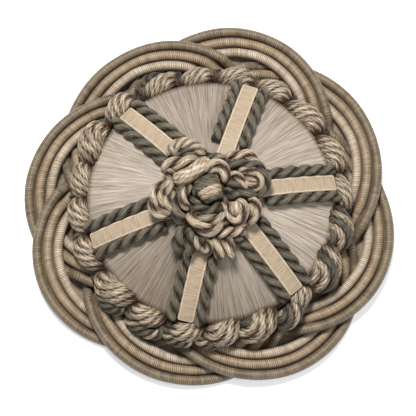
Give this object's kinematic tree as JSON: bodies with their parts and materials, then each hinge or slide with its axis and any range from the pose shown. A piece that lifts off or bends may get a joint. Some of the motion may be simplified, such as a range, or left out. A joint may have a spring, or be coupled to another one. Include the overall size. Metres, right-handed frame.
{
  "type": "passementerie rosette",
  "caption": "Round silk trimming rosette: interlaced gimp cord ring, ribbed silk dome, rope trim and a small looped cord flower, with a plain brooch pin behind.",
  "frame": {"origin": "bottom centre of the rosette's box, on the surface that it lies on", "axes": "+Z out of the face, +Y towards the rosette's top edge, +X to the right seen from the front"},
  "size_m": [0.0888, 0.0886, 0.0243],
  "materials": {
    "gimp_taupe": "wound rayon gimp, fine ribs, soft sheen",
    "gimp_tan": "wound rayon gimp, fine ribs, soft sheen",
    "gimp_cream": "wound rayon gimp, fine ribs, soft sheen",
    "felt": "pressed felt, matt",
    "pin_steel": "nickelled steel, satin",
    "silk_floss": "radial silk floss, satin sheen",
    "strip_gimp": "flat ribbed gimp strip, soft sheen",
    "olive_cord": "two-ply twisted rayon cord",
    "trim_rope": "twisted beige rope with olive plies",
    "flower_cord": "twisted beige cord with olive plies"
  },
  "bodies": {
    "root": {"gimp_taupe": "gimp_taupe", "gimp_tan": "gimp_tan", "gimp_cream": "gimp_cream", "backing_disc": "felt", "brooch_pin": "pin_steel", "silk_dome": "silk_floss", "strip_a": "strip_gimp", "strip_b": "strip_gimp", "strip_c": "strip_gimp", "strip_d": "strip_gimp", "strip_e": "strip_gimp", "strip_f": "strip_gimp", "twist_a_left": "olive_cord", "twist_b_left": "olive_cord", "twist_c_left": "olive_cord", "twist_d_left": "olive_cord", "twist_e_left": "olive_cord", "twist_f_left": "olive_cord", "twist_a_right": "olive_cord", "twist_b_right": "olive_cord", "twist_c_right": "olive_cord", "twist_d_right": "olive_cord", "twist_e_right": "olive_cord", "twist_f_right": "olive_cord", "knot_01": "trim_rope", "knot_02": "trim_rope", "knot_03": "trim_rope", "knot_04": "trim_rope", "knot_05": "trim_rope", "knot_06": "trim_rope", "knot_07": "trim_rope", "knot_08": "trim_rope", "knot_09": "trim_rope", "knot_10": "trim_rope", "knot_11": "trim_rope", "knot_12": "trim_rope", "knot_13": "trim_rope", "knot_14": "trim_rope", "knot_15": "trim_rope", "knot_16": "trim_rope", "knot_17": "trim_rope", "knot_18": "trim_rope", "knot_19": "trim_rope", "knot_20": "trim_rope", "knot_21": "trim_rope", "flower_boule": "flower_cord", "flower_coil": "flower_cord", "petal_1": "flower_cord", "petal_2": "flower_cord", "petal_3": "flower_cord", "petal_4": "flower_cord", "petal_5": "flower_cord", "petal_6": "flower_cord", "petal_7": "flower_cord", "petal_8": "flower_cord", "petal_9": "flower_cord", "flower_tie": "flower_cord", "flower_end_1": "flower_cord", "flower_end_2": "flower_cord", "flower_end_3": "flower_cord"}
  },
  "joints": []
}
